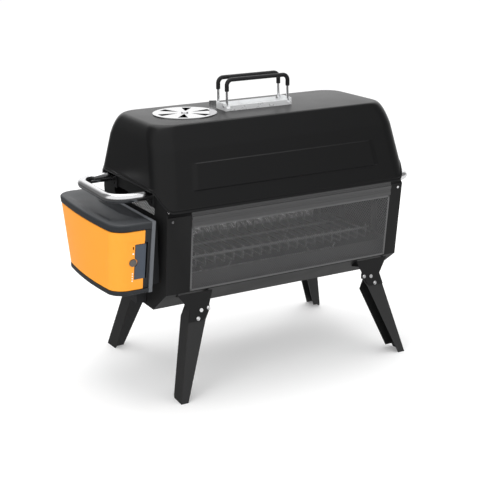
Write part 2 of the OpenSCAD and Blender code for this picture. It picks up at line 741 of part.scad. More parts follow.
module pack_frame() placed("#6f7378") difference() {
    along_x(-frame_x - frame_t, -frame_x)
        polygon([[-pack_top_y, pack_top_z], [-pack_low_y, pack_low_z], [pack_low_y, pack_low_z],
            [pack_top_y, pack_top_z]]);
    rod_x(-frame_x - 10, -frame_x + 1, 0, fan_z, fan_d);
    for (p = screw_spots) rod_x(-frame_x - 10, -frame_x + 1, p[0], p[1], screw_d);
}
module pack_inner_frame() placed("#3f4247") difference() {
    along_x(-shell_x + 0.2, -frame_x - frame_t - 0.1)
        polygon([[-pack_top_y + 4, pack_top_z - cap_h - 0.5],
            [-pack_low_y + 2, pack_low_z + lip_h + 0.5],
            [pack_low_y - 2, pack_low_z + lip_h + 0.5],
            [pack_top_y - 4, pack_top_z - cap_h - 0.5]]);
    along_x(-shell_x - 5, -frame_x)
        polygon([[-pack_top_y + 16, pack_top_z - cap_h - 8],
            [-pack_low_y + 14, pack_low_z + lip_h + 8],
            [pack_low_y - 14, pack_low_z + lip_h + 8],
            [pack_top_y - 16, pack_top_z - cap_h - 8]]);
    for (p = screw_spots) rod_x(-shell_x - 10, -frame_x, p[0], p[1], screw_d);
    translate([-shell_x - 1, -160, cover_z[0] - 0.5]) cube([8, 60, cover_z[1] - cover_z[0] + 1]);
}
module pack_top_cap() placed("#4b4e52") difference() {
    hull() {
        pack_slab(pack_top_z - cap_h, 36, 0);
        pack_slab(pack_top_z - 4, 36, 0);
        pack_slab(pack_top_z - 0.01, 33, 4);
        translate([-frame_x - frame_t - 0.4, -pack_top_y + 4, pack_top_z - cap_h])
            cube([0.3, 2 * pack_top_y - 8, cap_h - 2]);
    }
    hull() {
        pack_slab(pack_top_z - cap_h - 1, 34, 3);
        pack_slab(pack_top_z - 6, 34, 6);
    }
}
module pack_bottom_cap() placed("#4b4e52") difference() {
    hull() {
        pack_slab(pack_low_z, 30, 4);
        pack_slab(pack_low_z + lip_h, 34, 0);
        translate([-frame_x - frame_t - 0.4, -pack_low_y + 3, pack_low_z])
            cube([0.3, 2 * pack_low_y - 6, lip_h]);
    }
    hull() {
        pack_slab(pack_low_z + 4, 34, 6);
        pack_slab(pack_low_z + lip_h + 1, 34, 3);
    }
}

module battery_tray() placed("#2c2e30") translate([-346, 20, 226]) difference() {
    cube([28, 72, 46]);
    translate([2, 2, 2]) cube([24, 68, 60]);
}
module battery_cells() placed("#3f6fa0") for (i = [0:2])
    translate([-332, 34 + i * 22, 228.4]) cylinder(d = 20, h = 66);
module circuit_board() placed("#2c5b3a") translate([-326, -104, 236]) {
    cube([1.6, 62, 84]);
    for (z = [10, 34, 58]) translate([-3, 18, z]) cube([3.2, 12, 10]);
}

module fan_housing() placed("#232427") difference() {
    translate([fan_x, -36, fan_z - 36]) cube([11, 72, 72]);
    rod_x(fan_x - 1, fan_x + 12, 0, fan_z, fan_d);
    for (y = [-31, 31], z = [-31, 31]) rod_x(fan_x - 1, fan_x + 12, y, fan_z + z, 4);
}
module fan_motor() placed("#17181a") {
    difference() {
        rod_x(fan_x - 8, fan_x - 0.2, 0, fan_z, 26);
        rod_x(fan_x - 3, fan_x + 1, 0, fan_z, 4);
    }
    for (a = [45:90:315]) translate([fan_x - 3, 0, fan_z]) rotate([a, 0, 0])
        translate([0, -1.5, 12]) cube([2.6, 3, 28]);
    rod_x(fan_x - 4, fan_x + 4, 0, fan_z, 3);
}
module fan_impeller() placed("#3a3c40") translate([0, 0, fan_z]) {
    difference() {
        rod_x(fan_x + 0.8, fan_x + 9, 0, 0, 22);
        rod_x(fan_x, fan_x + 5, 0, 0, 3 + 2 * slip);
    }
    for (a = [0:360 / 7:359]) rotate([a, 0, 0]) translate([fan_x + 5, 0, 10])
        rotate([0, 0, 38]) translate([-4.5, -0.7, 0]) cube([9, 1.4, 18.5]);
}

module charge_sockets() placed("#b9bcc0") for (z = [260, 284])
    translate([-321, -side_y(z) + 9, z]) {
        difference() {
            cube([10, 14, 15]);
            translate([1.5, -1, 1.5]) cube([7, 12, 12]);
        }
        translate([3.5, 2, 4]) cube([2, 11.5, 7]);
    }

// Soft flap over the sockets; it swings about an upright pin on its rear edge
module cover_frame()
    translate([0, -side_y(cover_mid) + 3.4, cover_mid]) rotate([pack_tilt, 0, 0]) children();
module port_cover() placed("#5b6675") cover_frame() difference() {
    union() {
        translate([cover_x[0], -0.2 - cover_t, -cover_h / 2])
            cube([cover_x[1] - cover_x[0] + 2, cover_t, cover_h]);
        translate([cover_pin_x, cover_pin_y, -cover_h / 2]) cylinder(d = 3.4, h = cover_h);
    }
    translate([cover_pin_x, cover_pin_y, -cover_h]) cylinder(r = cover_pin_r + slip, h = 2 * cover_h);
    // round notch beside the power button
    translate([-panel_x, 5, (button_z - cover_mid) / cos(pack_tilt)]) rotate([90, 0, 0])
        cylinder(r = button_r + 2.2, h = 10);
}
module port_cover_pin() placed("#a0a0a2") cover_frame()
    translate([cover_pin_x, cover_pin_y, -cover_h / 2 - 0.8])
        cylinder(r = cover_pin_r, h = cover_h + 1.6);

module power_button() placed("#6b6d70") control_frame(button_z) {
    translate([0, 0, -4]) cylinder(r = button_r, h = 5.2);
    translate([0, 0, -5.5]) cylinder(r = button_r + 0.9, h = 2);
}
module indicator_lenses() placed("#f4f1e2") for (p = lens_rows)
    control_frame(p[0]) translate([0, 0, -1.6]) cylinder(d = p[1] - 0.1, h = 1.8);
module pack_screws() placed("#8e8e90") for (p = screw_spots) {
    rod_x(-frame_x - frame_t - 7, -frame_x, p[0], p[1], 4);
    rod_x(-frame_x, -frame_x + 1.6, p[0], p[1], 8);
}

// Blocks behind the pack that slide into the body's upright channels
module pack_tongues() placed("#2c2e30") both_sides()
    translate([-frame_x + 0.1, 90.6, 240]) cube([14, 12.8, 80]);

// ---- Racks ----

// Eight-sided bars stand for the rack's welded wires
module bar_x(x0, x1, y, z, d)
    translate([x0, y, z]) rotate([0, 90, 0]) rotate(22.5) cylinder(d = d, h = x1 - x0, $fn = 8);
module bar_y(x, y0, y1, z, d)
    translate([x, y0, z]) rotate([-90, 0, 0]) rotate(22.5) cylinder(d = d, h = y1 - y0, $fn = 8);
module bar_z(x, y, z0, z1, d)
    translate([x, y, z0]) rotate(22.5) cylinder(d = d, h = z1 - z0, $fn = 8);

module fuel_rack() placed("#9a9a9c") {
    for (y = [-1, 1]) {
        bar_x(-basket_x, basket_x, y * (basket_y + 1.7), basket_top_z, rod);
        bar_x(-basket_x - 18, basket_x + 18, y * 40, basket_low_z + 2.3, rod);
    }
    for (i = [0:fuel_wires - 1]) {
        x = -basket_x + 6 + i * (2 * basket_x - 12) / (fuel_wires - 1);
        bar_y(x, -basket_y - 1.2, basket_y + 1.2, basket_low_z, 3.2);
        for (y = [-1, 1]) bar_z(x, y * basket_y, basket_low_z, basket_low_z + 27, 3);
    }
    for (x = [-basket_x - 17, basket_x + 17]) bar_y(x, -72, 72, basket_low_z + 3.4, rod);
    for (x = [-134, 110], y = [-1, 1]) basket_foot(x, y * basket_y);
}
// Bent wire foot under the rack: two sloping legs and a straight tread
module basket_foot(x, y) {
    tread = 14;
    reach = 32;
    foot_z = 190;
    rise = basket_low_z - foot_z;
    tilt = atan((reach - tread) / rise);
    bar_x(x - tread - 1.5, x + tread + 1.5, y, foot_z, 3);
    for (s = [-1, 1]) translate([x + s * tread, y, foot_z]) rotate([0, s * tilt, 0])
        bar_z(0, 0, 0, rise / cos(tilt), 2.8);
    bar_x(x - reach - 3, x + reach + 3, y, basket_low_z, 2.6);
}

module cooking_grate() placed("#6a6a6c") {
    for (s = [-1, 1]) {
        rod_x(-grate_x[0], grate_x[0], s * grate_x[1], grate_z, grate_rod);
        rod_y(s * grate_x[0], -grate_x[1], grate_x[1], grate_z, grate_rod);
    }
    for (x = [-1, 1], y = [-1, 1]) translate([x * grate_x[0], y * grate_x[1], grate_z])
        sphere(d = grate_rod);
    for (i = [1:grate_bars])
        rod_y(-grate_x[0] + i * 2 * grate_x[0] / (grate_bars + 1), -grate_x[1], grate_x[1],
            grate_z, rod);
}

left_end_plate();
right_end_plate();
front_top_rail();
rear_top_rail();
front_mesh();
rear_mesh();
bottom_pan();
fire_pan();
air_manifold();
manifold_cap();
rack_hangers();
air_duct();
duct_seal();
pack_rails();
leg_brackets();
leg_pivot_pins();
bracket_rivets();
body_rivets();
left_handle();
right_handle();
handle_flanges();
hinge_body_knuckles();
lid_hinge_pins();
leg_front_left();
leg_front_right();
leg_rear_left();
leg_rear_right();
ash_door();
ash_door_pull();
ash_door_hinge();
lid_shell();
hinge_lid_leaves();
lid_rivets();
vent_disc();
vent_rivet();
handle_base();
front_loop();
rear_loop();
front_grip();
rear_grip();
pack_frame();
pack_inner_frame();
pack_shell();
pack_top_cap();
pack_bottom_cap();
battery_cells();
battery_tray();
circuit_board();
fan_housing();
fan_motor();
fan_impeller();
charge_sockets();
port_cover();
port_cover_pin();
power_button();
indicator_lenses();
pack_screws();
pack_tongues();
fuel_rack();
cooking_grate();
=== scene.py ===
import json
import math

import bmesh
import bpy
import numpy as np
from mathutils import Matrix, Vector


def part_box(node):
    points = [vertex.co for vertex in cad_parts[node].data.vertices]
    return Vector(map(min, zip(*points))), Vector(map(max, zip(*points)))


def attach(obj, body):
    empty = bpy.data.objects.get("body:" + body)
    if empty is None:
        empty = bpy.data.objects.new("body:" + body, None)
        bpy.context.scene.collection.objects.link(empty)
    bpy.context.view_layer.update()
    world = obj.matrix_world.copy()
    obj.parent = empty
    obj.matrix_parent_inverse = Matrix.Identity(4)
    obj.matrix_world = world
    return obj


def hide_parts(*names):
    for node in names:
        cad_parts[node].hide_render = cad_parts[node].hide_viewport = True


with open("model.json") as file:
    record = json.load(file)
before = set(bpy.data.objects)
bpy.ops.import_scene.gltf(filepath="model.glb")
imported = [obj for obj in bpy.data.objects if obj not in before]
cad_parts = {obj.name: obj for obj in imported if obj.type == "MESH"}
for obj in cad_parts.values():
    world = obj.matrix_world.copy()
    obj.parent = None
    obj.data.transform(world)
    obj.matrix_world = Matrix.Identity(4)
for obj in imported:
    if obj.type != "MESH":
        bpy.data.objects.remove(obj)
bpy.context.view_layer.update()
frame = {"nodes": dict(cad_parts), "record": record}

MM = 0.001


def box_mm(node):
    """Lowest and highest corner of a CAD node in millimetres, X measured from the middle of the body."""
    low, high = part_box(node)
    shift = np.array([BODY_X, 0, 0])
    return np.array(low) / MM - shift, np.array(high) / MM - shift


_lid_low, _lid_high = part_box("lid_shell")
BODY_X = (_lid_low[0] + _lid_high[0]) / 2 / MM

# ---------------------------------------------------------------- materials


def new_material(name):
    mat = bpy.data.materials.new(name)
    mat.use_nodes = True
    tree = mat.node_tree
    return mat, tree, tree.nodes["Principled BSDF"]


def noise_node(tree, coord, scale, detail=3.0, stretch=None):
    tex = tree.nodes.new("ShaderNodeTexNoise")
    tex.inputs["Scale"].default_value = scale
    tex.inputs["Detail"].default_value = detail
    vector = coord
    if stretch:
        mapping = tree.nodes.new("ShaderNodeMapping")
        mapping.inputs["Scale"].default_value = stretch
        tree.links.new(coord, mapping.inputs["Vector"])
        vector = mapping.outputs["Vector"]
    tree.links.new(vector, tex.inputs["Vector"])
    return tex.outputs["Fac"]


def remap(tree, value, low, high):
    node = tree.nodes.new("ShaderNodeMapRange")
    node.inputs["To Min"].default_value = low
    node.inputs["To Max"].default_value = high
    tree.links.new(value, node.inputs["Value"])
    return node.outputs["Result"]


def surface(name, colour, rough, metallic=0.0, grain=1500, grain_depth=0.02, blotch=0.12,
            rough_var=0.06, stretch=None, coat=0.0, edge=0.0, specular=0.5):
    """A moulded, painted or plated surface: fine grain in the bump, slow changes in colour and
    roughness, and lighter sharp edges that stand for edge wear and for a painted edge highlight."""
    mat, tree, bsdf = new_material(name)
    coord = tree.nodes.new("ShaderNodeTexCoord").outputs["Object"]
    slow = noise_node(tree, coord, 22, 4)
    fine = noise_node(tree, coord, grain, 2, stretch)
    mix = tree.nodes.new("ShaderNodeMix")
    mix.data_type = "RGBA"
    mix.inputs["A"].default_value = (*[c * (1 - blotch) for c in colour], 1)
    mix.inputs["B"].default_value = (*[min(1, c * (1 + blotch)) for c in colour], 1)
    tree.links.new(slow, mix.inputs["Factor"])
    out = mix.outputs["Result"]
    # sharp edges are painted lighter: partly edge wear, partly a painted edge highlight
    if edge:
        geometry = tree.nodes.new("ShaderNodeNewGeometry")
        ramp = tree.nodes.new("ShaderNodeValToRGB")
        ramp.color_ramp.elements[0].position = 0.52
        ramp.color_ramp.elements[1].position = 0.62
        tree.links.new(geometry.outputs["Pointiness"], ramp.inputs["Fac"])
        wear_and_highlight = tree.nodes.new("ShaderNodeMix")
        wear_and_highlight.data_type = "RGBA"
        wear_and_highlight.inputs["B"].default_value = (*[min(1, c + edge) for c in colour], 1)
        tree.links.new(ramp.outputs["Color"], wear_and_highlight.inputs["Factor"])
        tree.links.new(out, wear_and_highlight.inputs["A"])
        out = wear_and_highlight.outputs["Result"]
    tree.links.new(out, bsdf.inputs["Base Color"])
    tree.links.new(remap(tree, slow, rough - rough_var, rough + rough_var), bsdf.inputs["Roughness"])
    bump = tree.nodes.new("ShaderNodeBump")
    bump.inputs["Strength"].default_value = 1.0
    bump.inputs["Distance"].default_value = grain_depth * MM
    tree.links.new(fine, bump.inputs["Height"])
    tree.links.new(bump.outputs["Normal"], bsdf.inputs["Normal"])
    bsdf.inputs["Metallic"].default_value = metallic
    bsdf.inputs["Specular IOR Level"].default_value = specular
    bsdf.inputs["Coat Weight"].default_value = coat
    bsdf.inputs["Coat Roughness"].default_value = 0.25
    return mat


# edge= sets how much lighter sharp edges are painted, as edge wear and as a painted edge highlight
MAT = {
    "body_black": surface("body_black", (0.0048, 0.0048, 0.005), 0.42, grain=1400, grain_depth=0.03,
                          edge=0.014,
                          specular=0.08),
    "rail_grey": surface("rail_grey", (0.03, 0.03, 0.031), 0.4, grain=1400, grain_depth=0.02, edge=0.03),
    "mesh_steel": surface("mesh_steel", (0.12, 0.12, 0.122), 0.45,
                          metallic=0.2, grain=900, grain_depth=0.01),
    "lid_black": surface("lid_black", (0.0045, 0.0046, 0.0049), 0.34, grain=1700, grain_depth=0.02,
                         blotch=0.05,
                         rough_var=0.03, specular=0.2),
    "leg_black": surface("leg_black", (0.007, 0.007, 0.0073), 0.4, grain=1400, grain_depth=0.03, edge=0.015,
                         specular=0.3),
    "bracket_black": surface("bracket_black", (0.007, 0.007, 0.0073), 0.5, grain=1200, grain_depth=0.03,
                             specular=0.3),
    "polished_steel": surface("polished_steel", (0.78, 0.78, 0.79), 0.16, metallic=1.0, grain=700,
                              grain_depth=0.003, rough_var=0.03, blotch=0.03),
    "bright_steel": surface("bright_steel", (0.88, 0.89, 0.9), 0.28, metallic=0.35, grain=500,
                            grain_depth=0.01, stretch=(0.05, 1, 1)),
    "fastener_steel": surface("fastener_steel", (0.85, 0.85, 0.86), 0.16, metallic=1.0, grain=900,
                              grain_depth=0.005),
    "grip_rubber": surface("grip_rubber", (0.01, 0.01, 0.011), 0.45, grain=2600, grain_depth=0.05,
                           specular=0.3),
    "pack_orange": surface("pack_orange", (1.0, 0.36, 0.02), 0.38, grain=2200, grain_depth=0.012, blotch=0.03,
                           rough_var=0.03, coat=0.15),
    "pack_grey": surface("pack_grey", (0.024, 0.027, 0.031), 0.5, grain=2400, grain_depth=0.05, blotch=0.06),
    "frame_grey": surface("frame_grey", (0.12, 0.128, 0.14), 0.5, grain=2400, grain_depth=0.05, blotch=0.06),
    "pack_dark": surface("pack_dark", (0.02, 0.021, 0.023), 0.55, grain=2400, grain_depth=0.05),
    "cover_rubber": surface("cover_rubber", (0.06, 0.075, 0.1), 0.6, grain=2600, grain_depth=0.05),
    "button_grey": surface("button_grey", (0.12, 0.11, 0.1), 0.45, grain=2400, grain_depth=0.03),
    "lens_white": surface("lens_white", (0.95, 0.93, 0.82), 0.2, grain=300, grain_depth=0.002),
    "rack_wire": surface("rack_wire", (0.6, 0.6, 0.61), 0.35, metallic=0.8, grain=900, grain_depth=0.02),
    "grate_iron": surface("grate_iron", (0.04, 0.04, 0.042), 0.6, metallic=0.4, grain=900, grain_depth=0.12),
    "seal_rubber": surface("seal_rubber", (0.01, 0.01, 0.011), 0.7, grain=1800, grain_depth=0.05),
    "board_green": surface("board_green", (0.02, 0.12, 0.05), 0.35, grain=600, grain_depth=0.02, coat=0.3),
    "cell_blue": surface("cell_blue", (0.05, 0.16, 0.35), 0.25, grain=500, grain_depth=0.01, coat=0.3),
}
SLOT = {s["node"]: s["material_slot"] for s in frame["record"]["subparts"]}
for _node, _obj in frame["nodes"].items():
    _obj.data.materials.clear()
    _obj.data.materials.append(MAT[SLOT[_node]])

# ---------------------------------------------------------------- mesh helpers


def make(name, verts, faces, body, slot_name, replaces=(), angle=35, material=None):
    """A mesh piece from points in millimetres (X from the middle of the body)."""
    mesh = bpy.data.meshes.new(name)
    points = [((v[0] + BODY_X) * MM, v[1] * MM, v[2] * MM) for v in verts]
    mesh.from_pydata(points, [], [list(f) for f in faces])
    mesh.validate()
    obj = bpy.data.objects.new(name, mesh)
    bpy.context.scene.collection.objects.link(obj)
    tidy_normals(mesh)
    shade(mesh, angle)
    mesh.materials.append(material or MAT[slot_name])
    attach(obj, body)
    if replaces:
        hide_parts(*replaces)
    return obj


def tidy_normals(mesh):
    bm = bmesh.new()
    bm.from_mesh(mesh)
    bmesh.ops.remove_doubles(bm, verts=bm.verts, dist=1e-6)
    bmesh.ops.recalc_face_normals(bm, faces=bm.faces)
    bm.to_mesh(mesh)
    bm.free()


def shade(mesh, angle):
    mesh.polygons.foreach_set("use_smooth", [True] * len(mesh.polygons))
    mesh.set_sharp_from_angle(angle=math.radians(angle))
    mesh.update()


def bevel(obj, width, segments=2, angle=30):
    mod = obj.modifiers.new("edges", "BEVEL")
    mod.width = width * MM
    mod.segments = segments
    mod.limit_method = "ANGLE"
    mod.angle_limit = math.radians(angle)
    mod.harden_normals = False


def cut(obj, *cutters):
    """Applies a boolean difference with each cutter mesh, then deletes the cutters."""
    for cutter in cutters:
        mod = obj.modifiers.new("cut", "BOOLEAN")
        mod.operation = "DIFFERENCE"
        mod.solver = "EXACT"
        mod.object = cutter
    depsgraph = bpy.context.evaluated_depsgraph_get()
    result = bpy.data.meshes.new_from_object(obj.evaluated_get(depsgraph))
    obj.modifiers.clear()
    old = obj.data
    obj.data = result
    bpy.data.meshes.remove(old)
    for cutter in cutters:
        bpy.data.objects.remove(cutter, do_unlink=True)


def cutter_prism(name, outline, low, high, axis="z"):
    """A prism used as a cutter, along Z or Y: outline in the two other axes, in millimetres."""
    def at(p, h):
        return (p[0], p[1], h) if axis == "z" else (p[0], h, p[1])
    n = len(outline)
    verts = [at(p, low) for p in outline] + [at(p, high) for p in outline]
    faces = [list(range(n)), list(range(n, 2 * n))]
    faces += [[i, (i + 1) % n, n + (i + 1) % n, n + i] for i in range(n)]
    mesh = bpy.data.meshes.new(name)
    mesh.from_pydata([((v[0] + BODY_X) * MM, v[1] * MM, v[2] * MM) for v in verts], [], faces)
    obj = bpy.data.objects.new(name, mesh)
    bpy.context.scene.collection.objects.link(obj)
    tidy_normals(mesh)
    return obj


def circle(cx, cy, r, n=32):
    return [(cx + r * math.cos(2 * math.pi * i / n), cy + r * math.sin(2 * math.pi * i / n))
            for i in range(n)]


def fillet(path, radius, steps=6):
    """Rounds the inner corners of a polyline in 3-D with arcs."""
    pts = [Vector(p) for p in path]
    out = [pts[0]]
    for a, b, c in zip(pts, pts[1:], pts[2:]):
        u, v = (a - b).normalized(), (c - b).normalized()
        angle = u.angle(v)
        if abs(math.pi - angle) < 1e-3:
            out.append(b)
            continue
        reach = min(radius / math.tan(angle / 2), (a - b).length * 0.499, (c - b).length * 0.499)
        r = reach * math.tan(angle / 2)
        centre = b + (u + v).normalized() * (r / math.sin(angle / 2))
        start, end = b + u * reach - centre, b + v * reach - centre
        turn = start.angle(end)
        for i in range(steps + 1):
            a, b2 = math.sin(turn * (1 - i / steps)), math.sin(turn * i / steps)
            out.append(centre + (start * a + end * b2) / math.sin(turn))
    return out + [pts[-1]]


def sweep(path, radius, sides=16):
    """A round bar along a path; returns verts and faces."""
    pts = [Vector(p) for p in path]
    n = len(pts)
    tangents = []
    for i in range(n):
        tangents.append((pts[min(i + 1, n - 1)] - pts[max(i - 1, 0)]).normalized())
    side = tangents[0].orthogonal().normalized()
    verts = []
    for i in range(n):
        if i:
            side = (side - tangents[i] * side.dot(tangents[i])).normalized()
        up = tangents[i].cross(side)
        for k in range(sides):
            a = 2 * math.pi * k / sides
            verts.append(pts[i] + (side * math.cos(a) + up * math.sin(a)) * radius)
    faces = []
    for i in range(n - 1):
        for k in range(sides):
            j, m = i + 1, (k + 1) % sides
            faces.append([i * sides + k, i * sides + m, j * sides + m, j * sides + k])
    faces.append(list(range(sides)))
    faces.append(list(range((n - 1) * sides, n * sides)))
    return verts, faces


def merge(parts):
    verts, faces = [], []
    for v, f in parts:
        base = len(verts)
        verts += list(v)
        faces += [[i + base for i in face] for face in f]
    return verts, faces


def bar(a, b, width, depth, up=(0, 0, 1)):
    """A flat bar between two points: width across, depth along up."""
    a, b, up = Vector(a), Vector(b), Vector(up)
    along = (b - a).normalized()
    across = along.cross(up).normalized() * (width / 2)
    lift = up.normalized() * (depth / 2)
    verts = [p + s * across + t * lift for p in (a, b) for s, t in ((-1, -1), (1, -1), (1, 1), (-1, 1))]
    faces = [[0, 1, 2, 3], [4, 5, 6, 7]] + [[k, (k + 1) % 4, 4 + (k + 1) % 4, 4 + k] for k in range(4)]
    return verts, faces


def loft(rows, close_rows=True):
    """Quads between rows of equally many points."""
    n = len(rows[0])
    verts = [p for row in rows for p in row]
    faces = []
    last = n if close_rows else n - 1
    for i in range(len(rows) - 1):
        for k in range(last):
            m = (k + 1) % n
            faces.append([i * n + k, i * n + m, (i + 1) * n + m, (i + 1) * n + k])
    return verts, faces


def smoothstep(x, low, high):
    t = min(1.0, max(0.0, (x - low) / (high - low)))
    return t * t * (3 - 2 * t)


# ---------------------------------------------------------------- lid

LID_LOW, LID_HIGH = box_mm("lid_shell")
LID_TOP = LID_HIGH[2]
RIM = (283.0, 155.5, LID_LOW[2])
CREASE = (269.5, 122.0, 474.5)
TOP_HALF_Y = 96.5
LID_SKIN = 1.8
LID_CORNER = 38.0
# Lower edge of the lid past its front and back walls: half depth and height
NOTCH = np.array([(0, 401), (118, 401), (132, 391), (158, 360)], float)
NOTCH_X = 235.0
END_ROUND_LOW = 480.0
END_FLAT_X = 246.0


def crown_points():
    """Half depth against height: wall, crease, shoulder and the edge of the flat top."""
    path = [Vector(p) for p in ((RIM[1], RIM[2]), (CREASE[1], CREASE[2]), (TOP_HALF_Y, LID_TOP),
                                (TOP_HALF_Y - 10, LID_TOP))]
    out = [path[0]]
    for (a, b, c), reach in zip(zip(path, path[1:], path[2:]), (4.0, 4.5)):
        start, end = b + (a - b).normalized() * reach, b + (c - b).normalized() * reach
        for i in range(7):
            t = i / 6
            out.append(start * (1 - t) ** 2 + b * 2 * t * (1 - t) + end * t * t)
    return np.array([tuple(p) for p in out])


CROWN = crown_points()


def wall_x(z):
    return RIM[0] + (CREASE[0] - RIM[0]) * (z - RIM[2]) / (CREASE[2] - RIM[2])


def half_at(z):
    """Half length and half depth of the lid at height z; the ends roll over into the flat top."""
    hy = float(np.interp(z, CROWN[:, 1], CROWN[:, 0]))
    if z <= END_ROUND_LOW:
        return wall_x(z), hy
    t = 1 - math.sqrt(max(0.0, (LID_TOP - z) / (LID_TOP - END_ROUND_LOW)))
    hx = (1 - t) ** 2 * wall_x(END_ROUND_LOW) + 2 * t * (1 - t) * wall_x(LID_TOP) + t * t * END_FLAT_X
    return hx, hy


def rounded_ring(hx, hy, r, nx=128, ny=64, nc=14):
    """Points of a rounded rectangle, counter-clockwise. The third value is 0 on an end wall, 1 on a long
    wall and 2 in a corner."""
    pts = []

    def side(a, b, n, wall):
        for i in range(n):
            t = i / n
            pts.append((a[0] + (b[0] - a[0]) * t, a[1] + (b[1] - a[1]) * t, wall))

    def corner(cx, cy, a0):
        for i in range(nc):
            a = math.radians(a0 + 90 * i / nc)
            pts.append((cx + r * math.cos(a), cy + r * math.sin(a), 2))

    corner(hx - r, hy - r, 0)
    side((hx - r, hy), (-hx + r, hy), nx, 1)
    corner(-hx + r, hy - r, 90)
    side((-hx, hy - r), (-hx, -hy + r), ny, 0)
    corner(-hx + r, -hy + r, 180)
    side((-hx + r, -hy), (hx - r, -hy), nx, 1)
    corner(hx - r, -hy + r, 270)
    side((hx, -hy + r), (hx, hy - r), ny, 0)
    return pts


def edge_heights():
    """Height of the lid's lower edge at each point of the ring."""
    low = [RIM[2]] * len(rounded_ring(*RIM[:2], LID_CORNER))
    for k in range(len(low)):
        for _ in range(8):
            x, y = RINGS(low[k])[k][:2]
            wanted = float(np.interp(abs(y), NOTCH[:, 0], NOTCH[:, 1])) if abs(x) > NOTCH_X else RIM[2]
            low[k] = max(RIM[2], (low[k] + wanted) / 2)
    return low


_ring_store = {}


def RINGS(z, inset=0.0):
    key = (round(z, 1), inset)
    if key not in _ring_store:
        hx, hy = half_at(key[0])
        _ring_store[key] = rounded_ring(hx - inset, hy - inset, LID_CORNER - inset)
    return _ring_store[key]


EDGE = edge_heights()


def panel_relief(x, z):
    """Height of the shallow raised panel on the front and back walls."""
    soft, low, high = 1.2, 401.5, 449.5
    half = 203 - (z - low) * 0.12
    inside = smoothstep(half - abs(x), -soft, soft) * smoothstep(z, low - soft, low + soft)
    return 1.9 * inside * (1 - smoothstep(z, high - soft, high + soft))


def rim_bead(rise):
    """Two fine rolled beads along the lower edge."""
    return 1.3 * math.exp(-((rise - 1.2) / 1.1) ** 2) + 0.8 * math.exp(-((rise - 6.0) / 0.9) ** 2)


def lid_heights():
    low = RIM[2]
    walls = [low + d for d in (0, 0.6, 1.2, 1.9, 2.8, 3.8, 4.6, 5.3, 6.0, 6.7, 7.5, 9)]
    walls += list(np.arange(low + 12, 399, 3.2)) + list(np.arange(399, 404.5, 0.8))
    walls += list(np.arange(407, 446, 3.2)) + list(np.arange(447, 452.5, 0.8))
    walls += list(np.arange(455, 468, 3)) + list(np.arange(469, 480, 0.9)) + list(np.arange(482, 511, 2))
    return walls + [LID_TOP - d for d in (5.5, 4.4, 3.4, 2.5, 1.7, 1.0, 0.5, 0.15, 0.0)]


def lid_rows(inset):
    rows = []
    for z in lid_heights():
        row = []
        for k, low in enumerate(EDGE):
            zz = low + (z - RIM[2]) * (CREASE[2] - low) / (CREASE[2] - RIM[2]) if z < CREASE[2] else z
            x, y, wall = RINGS(zz, inset)[k]
            if inset == 0:
                bead = rim_bead(zz - low) if zz < low + 12 else 0
                out_x, out_y = (1, 0) if wall == 0 else (0, 1) if wall == 1 else (0.7, 0.7)
                x += math.copysign(bead * out_x, x)
                y += math.copysign(bead * out_y + (panel_relief(x, zz) if wall == 1 else 0), y)
            row.append((x, y, zz - inset * smoothstep(zz, CREASE[2], LID_TOP)))
        rows.append(row)
    return rows


def vent_slot(cx, middle):
    tip, end, half = 15.0, VENT_R - 8.0, math.radians(11.2)
    turn = math.radians(middle)
    return [(cx + r * math.cos(turn + a), r * math.sin(turn + a))
            for r, a in ((tip - 1.5, -0.02), (end + 0.7, -half), (end + 0.7, half), (tip - 1.5, 0.02))]


VENT_LOW, VENT_HIGH = box_mm("vent_disc")
VENT_X = (VENT_LOW[0] + VENT_HIGH[0]) / 2
VENT_R = (VENT_HIGH[1] - VENT_LOW[1]) / 2


def build_lid():
    outer, inner = lid_rows(0), lid_rows(LID_SKIN)
    verts, faces = loft(outer[::-1] + inner)
    # outer rows run from the crown down to the rim, then the inner rows climb back up
    n = len(outer[0])
    total = len(outer) * 2
    faces.append(list(range(n)))
    faces.append(list(range((total - 1) * n, total * n)))
    lid = make("lid_skin", verts, faces, "lid", "lid_black", ("lid_shell",), angle=28)
    wedges = [cutter_prism(f"vent_cut_{i}", vent_slot(VENT_X, i * 60), LID_TOP - 8, LID_TOP + 8)
              for i in range(6)]
    wedges.append(cutter_prism("vent_bore", circle(VENT_X, 0, 3.05), LID_TOP - 8, LID_TOP + 8))
    cut(lid, *wedges)
    shade(lid.data, 28)
    return lid


build_lid()

# ---------------------------------------------------------------- mesh panels

MESH_LOW, MESH_HIGH = box_mm("front_mesh")
WEAVE_ANGLE = 33
WEAVE_PITCH = 4.1
FRONT_STRAND, REAR_STRAND = 0.85, 2.3
STRAND_DEPTH, STRAND_LIFT = 0.35, 0.12
MESH_BORDER, BORDER_DEPTH = 3.6, 0.9


